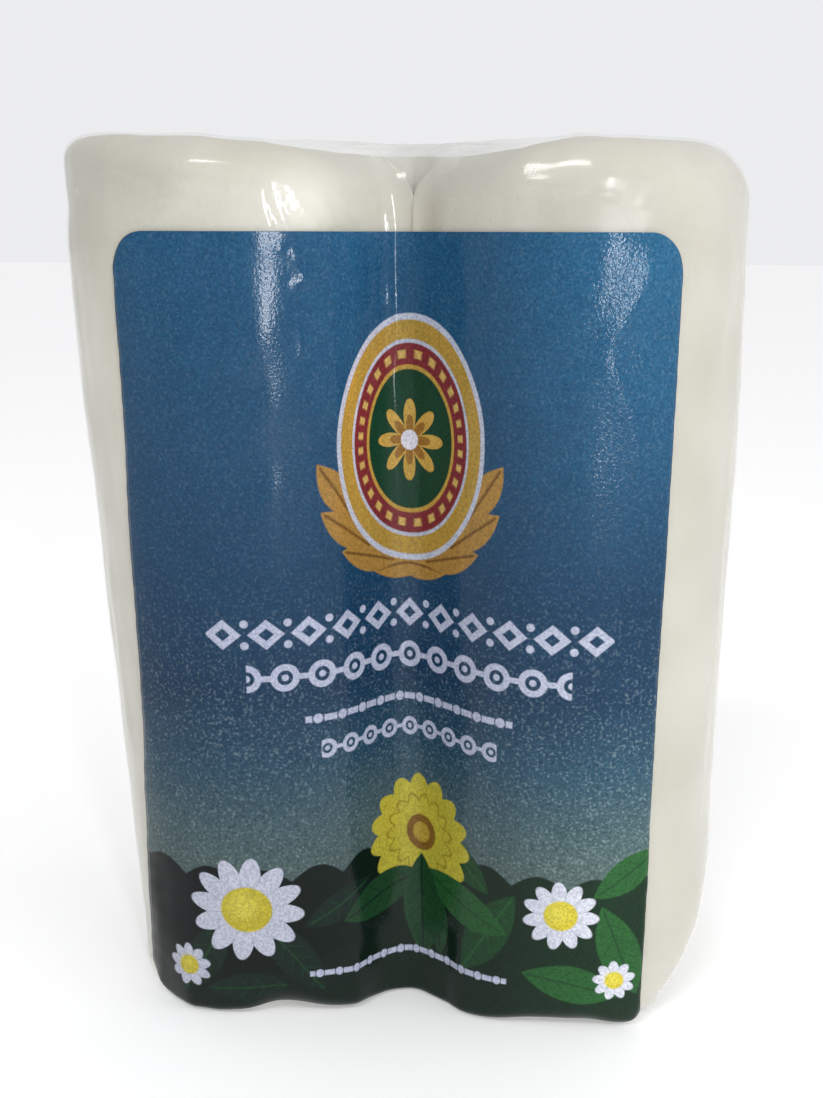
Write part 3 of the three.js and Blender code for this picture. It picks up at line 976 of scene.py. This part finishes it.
    # fine speckle of the print and its satin grain
    co = t.nodes.new("ShaderNodeTexCoord")
    grain = node(t, "ShaderNodeTexNoise", Scale=4000.0, Detail=1.0, Roughness=0.75)
    cloud = node(t, "ShaderNodeTexNoise", Scale=160.0, Detail=2.0, Roughness=0.55)
    t.links.new(co.outputs["Object"], grain.inputs["Vector"])
    t.links.new(co.outputs["Object"], cloud.inputs["Vector"])
    dark = (Sum(grain.outputs["Fac"]) - 0.5) * 2.0 + (Sum(cloud.outputs["Fac"]) - 0.5) * 0.35 + 0.5
    shade = t.nodes.new("ShaderNodeValToRGB")
    shade.color_ramp.elements[0].position = 0.2
    shade.color_ramp.elements[0].color = (0.66, 0.68, 0.72, 1)
    shade.color_ramp.elements[1].position = 0.8
    shade.color_ramp.elements[1].color = (1, 1, 1, 1)
    shade.color_ramp.interpolation = "LINEAR"
    t.links.new(dark.s, shade.inputs["Fac"])
    col = mix_colour(t, 1.0, col, shade.outputs["Color"], "MULTIPLY")
    # painted light: the print is darkened on the left and lightened towards the right, less so at mid height, as if
    # lit from the right
    painted_side_light = Sum.op("MULTIPLY_ADD", x, 1 / 18.0, -0.42, clamp=True)
    middle = Sum.op("MULTIPLY_ADD", vabs(z - 46.0), -1 / 15.0, 1.0, clamp=True)
    painted_side_light = painted_side_light * painted_side_light * (3.0 - painted_side_light * 2.0) * (1.0 - middle * 0.8)
    col = mix_colour(t, 1.0, col, mix_colour(t, painted_side_light, (0.77, 0.77, 0.77, 1), (1.22, 1.20, 1.12, 1)), "MULTIPLY")
    # painted highlight: a lighter band high up on the left log, between the glossy streak and the valley
    thin = Sum.op("MULTIPLY_ADD", vabs(x + 7.5), -1 / 8.0, 1.0, clamp=True)
    high = Sum.op("MULTIPLY_ADD", z, 1 / 22.0, -2.2, clamp=True)
    col = mix_colour(t, thin * thin * high, col, mix_colour(t, 1.0, col, (1.55, 1.40, 1.35, 1), "MULTIPLY"))

    bsdf = node(t, "ShaderNodeBsdfPrincipled")
    t.links.new(col, bsdf.inputs["Base Color"])
    rough = Sum(cloud.outputs["Fac"]) * 0.10 + 0.08
    t.links.new(rough.s, bsdf.inputs["Roughness"])
    bsdf.inputs["IOR"].default_value = 1.5
    bsdf.inputs["Specular IOR Level"].default_value = 0.18
    peel = node(t, "ShaderNodeTexNoise", Scale=3600.0, Detail=1.0, Roughness=0.6)
    t.links.new(co.outputs["Object"], peel.inputs["Vector"])
    # the surface is coarser in one patch of the right-hand log
    patch = Sum.op("MULTIPLY_ADD", hyp((x - 22.5) / 8.0, (z - 66.0) / 16.0), -1.6, 1.9, clamp=True)
    bump = node(t, "ShaderNodeBump", Strength=0.5, Distance=0.00003)
    t.links.new((Sum(peel.outputs["Fac"]) * (patch * 2.6 + 1.0)).s, bump.inputs["Height"])
    t.links.new(bump.outputs[0], bsdf.inputs["Normal"])
    t.links.new(bsdf.outputs[0], out.inputs["Surface"])
    return m


def label_edge_material():
    m, t, out = material("label_edge")
    co = t.nodes.new("ShaderNodeTexCoord")
    n = node(t, "ShaderNodeTexNoise", Scale=2500.0, Detail=2.0)
    t.links.new(co.outputs["Object"], n.inputs["Vector"])
    col = mix_colour(t, Sum(n.outputs["Fac"]).s, srgb(196, 206, 214), srgb(232, 236, 240))
    bsdf = node(t, "ShaderNodeBsdfPrincipled", Roughness=0.45)
    t.links.new(col, bsdf.inputs["Base Color"])
    t.links.new(bsdf.outputs[0], out.inputs["Surface"])
    return m


def floor_material():
    m, t, out = material("pale_floor")
    bsdf = node(t, "ShaderNodeBsdfPrincipled", Roughness=0.85)
    bsdf.inputs["Base Color"].default_value = (0.93, 0.93, 0.93, 1)
    bsdf.inputs["Emission Color"].default_value = (1, 1, 1, 1)
    bsdf.inputs["Emission Strength"].default_value = 0.10
    t.links.new(bsdf.outputs[0], out.inputs["Surface"])
    return m


# ---------------------------------------------------------------------- pieces
film = make_film(film_material())
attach(film, "root")
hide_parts("pack")

cheese = cheese_material()
for piece_name, piece_side, piece_seed in (("cheese_left", -1, 41), ("cheese_right", 1, 57)):
    log = make_log(piece_name, piece_side, cheese, piece_seed)
    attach(log, "root")
    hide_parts("pack")

label = make_label(label_face_material(), label_edge_material())
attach(label, "root")
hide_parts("label")


# ------------------------------------------------------- floor, light and camera
def floor():
    me = bpy.data.meshes.new("floor")
    k = 3.0
    me.from_pydata([(-k, -k, 0), (k, -k, 0), (k, k, 0), (-k, k, 0)], [], [(0, 1, 2, 3)])
    me.materials.append(floor_material())
    o = bpy.data.objects.new("floor", me)
    bpy.context.scene.collection.objects.link(o)


def area(name, azimuth, elevation, distance, width, height, power, colour=(1, 1, 1), aim=(0, 0, 0.045), gloss=True):
    d = bpy.data.lights.new(name, "AREA")
    d.shape = "RECTANGLE"
    d.size, d.size_y = width, height
    d.energy = power
    d.color = colour
    o = bpy.data.objects.new(name, d)
    a, e = math.radians(azimuth), math.radians(elevation)
    pos = np.array(aim) + distance * np.array([math.sin(a) * math.cos(e), -math.cos(a) * math.cos(e), math.sin(e)])
    z = (pos - np.array(aim)) / distance
    x = np.cross([0, 0, 1], z)
    x /= np.linalg.norm(x)
    y = np.cross(z, x)
    mtx = Matrix([[x[0], y[0], z[0], pos[0]], [x[1], y[1], z[1], pos[1]], [x[2], y[2], z[2], pos[2]], [0, 0, 0, 1]])
    o.matrix_world = mtx
    o.visible_camera = False
    o.visible_glossy = gloss
    bpy.context.scene.collection.objects.link(o)
    return o


floor()
world = bpy.data.worlds.new("studio")
world.use_nodes = True
bg = world.node_tree.nodes.get("Background") or world.node_tree.nodes.new("ShaderNodeBackground")
bg.inputs["Color"].default_value = (0.975, 0.98, 1.0, 1)
wt = world.node_tree
where = wt.nodes.new("ShaderNodeTexCoord")
axes = wt.nodes.new("ShaderNodeSeparateXYZ")
wt.links.new(where.outputs["Generated"], axes.inputs[0])
Sum.tree = wt
# a soft room, paler on the right than on the left
soft = Sum(axes.outputs[0]) * 0.10 + Sum(axes.outputs[1]) * 0.12 + Sum(axes.outputs[2]) * 0.15 + 0.64
seen = wt.nodes.new("ShaderNodeLightPath")
plain = Sum(seen.outputs["Is Camera Ray"])
wt.links.new((soft * (1.0 - plain) + plain * 0.86).s, bg.inputs["Strength"])
bpy.context.scene.world = world

area("window", 21, 6.2, 0.42, 0.034, 0.14, 0.66, (0.92, 0.95, 1.0), (0, 0, 0.062))


def daylight(azimuth, elevation, spread, strength, colour=(1, 1, 1)):
    """wide even light from one side, too soft to cast an edge"""
    d = bpy.data.lights.new("daylight", "SUN")
    d.angle = math.radians(spread)
    d.energy = strength
    d.color = colour
    o = bpy.data.objects.new("daylight", d)
    o.matrix_world = (Matrix.Rotation(math.radians(azimuth), 4, "Z")
                      @ Matrix.Rotation(math.radians(90 - elevation), 4, "X"))
    o.visible_glossy = False
    bpy.context.scene.collection.objects.link(o)


daylight(70, 22, 70, 1.1, (1.0, 0.99, 0.97))
area("ceiling", -24, 50, 0.6, 0.22, 0.10, 0.9, (1.0, 1.0, 0.98), (0, 0, 0.085))

cam_data = bpy.data.cameras.new("camera")
cam_data.sensor_width = 36.0
cam_data.lens = 38.85
cam_data.clip_start = 0.005
cam_data.clip_end = 20
cam = bpy.data.objects.new("camera", cam_data)
bpy.context.scene.collection.objects.link(cam)
turn = math.radians(2.94)
cam.matrix_world = (
    Matrix.Translation(((-0.5 + 125.6 * math.sin(turn) + SHIFT_X) / 1000,
                        (-125.6 * math.cos(turn) + SHIFT_Y) / 1000, 0.08125))
    @ Matrix.Rotation(turn, 4, "Z")
    @ Matrix.Rotation(math.radians(90 - 15.02), 4, "X")
    @ Matrix.Rotation(math.radians(0.17), 4, "Z"))
bpy.context.scene.camera = cam

bpy.context.scene.view_settings.view_transform = "Standard"
# light needs only a few turns in and out of the thin film
bpy.context.scene.cycles.diffuse_bounces = 2
bpy.context.scene.cycles.glossy_bounces = 2
bpy.context.scene.cycles.max_bounces = 5
bpy.context.view_layer.update()
